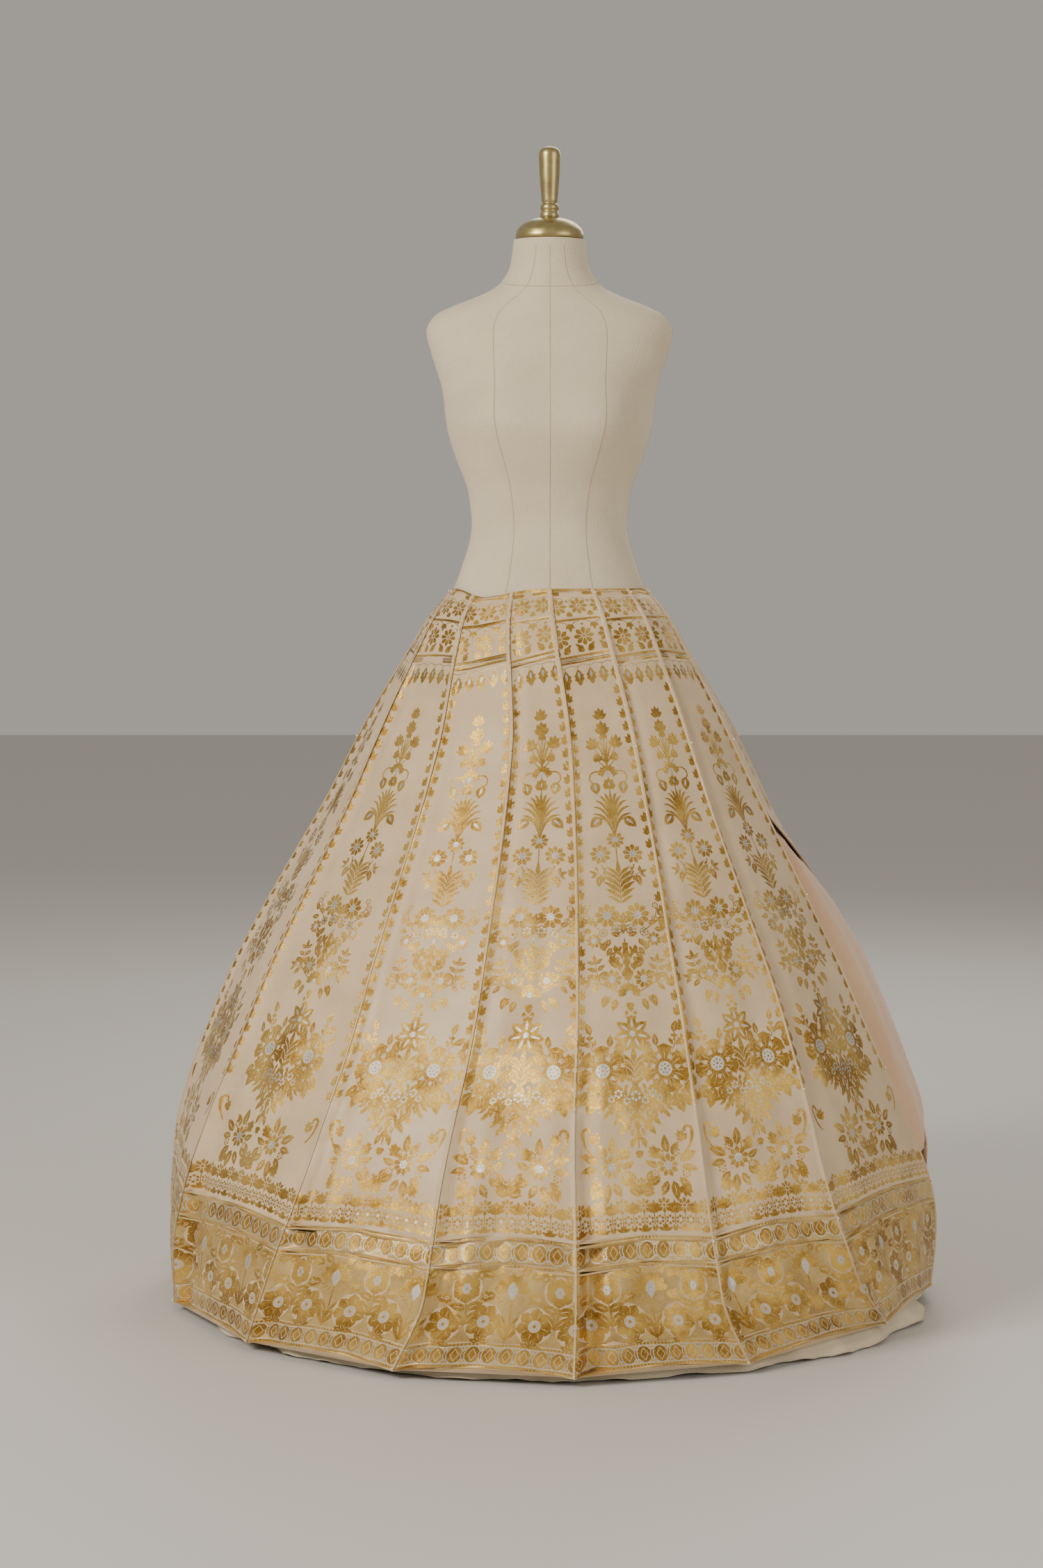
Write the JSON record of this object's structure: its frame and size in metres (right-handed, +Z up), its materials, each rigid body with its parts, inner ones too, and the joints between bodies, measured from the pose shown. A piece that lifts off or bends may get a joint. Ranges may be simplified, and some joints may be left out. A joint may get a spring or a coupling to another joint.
{
  "type": "lehenga skirt on a dress form",
  "caption": "Full-length flared brocade skirt of tapered panels over a net underskirt, on a limbless dress form with neck cap and finial.",
  "frame": {"origin": "centre of the underside of the stand's base, on the floor", "axes": "+Z up along the stand's pole, -Y towards the front of the skirt, +X towards the viewer's right"},
  "size_m": [1.137, 1.1854, 1.6815],
  "materials": {
    "brocade_silk": "satin silk with woven gold and silver thread",
    "underskirt_net": "stiff peach net, matt",
    "flounce_cotton": "cream cotton, matt",
    "form_jersey": "natural linen cover, matt",
    "gilt_metal": "satin gold",
    "stand_steel": "satin dark paint"
  },
  "bodies": {
    "root": {"kali_01": "brocade_silk", "kali_02": "brocade_silk", "kali_03": "brocade_silk", "kali_04": "brocade_silk", "kali_05": "brocade_silk", "kali_06": "brocade_silk", "kali_07": "brocade_silk", "kali_08": "brocade_silk", "kali_09": "brocade_silk", "kali_10": "brocade_silk", "kali_11": "brocade_silk", "kali_12": "brocade_silk", "kali_13": "brocade_silk", "kali_14": "brocade_silk", "underskirt_net_yoke": "underskirt_net", "underskirt_net_upper": "underskirt_net", "underskirt_net_middle": "underskirt_net", "underskirt_net_lower": "underskirt_net", "underskirt_flounce": "flounce_cotton", "form_torso": "form_jersey", "form_neck_cap": "gilt_metal", "form_finial": "gilt_metal", "stand_pole": "stand_steel", "stand_base": "stand_steel"}
  },
  "joints": []
}
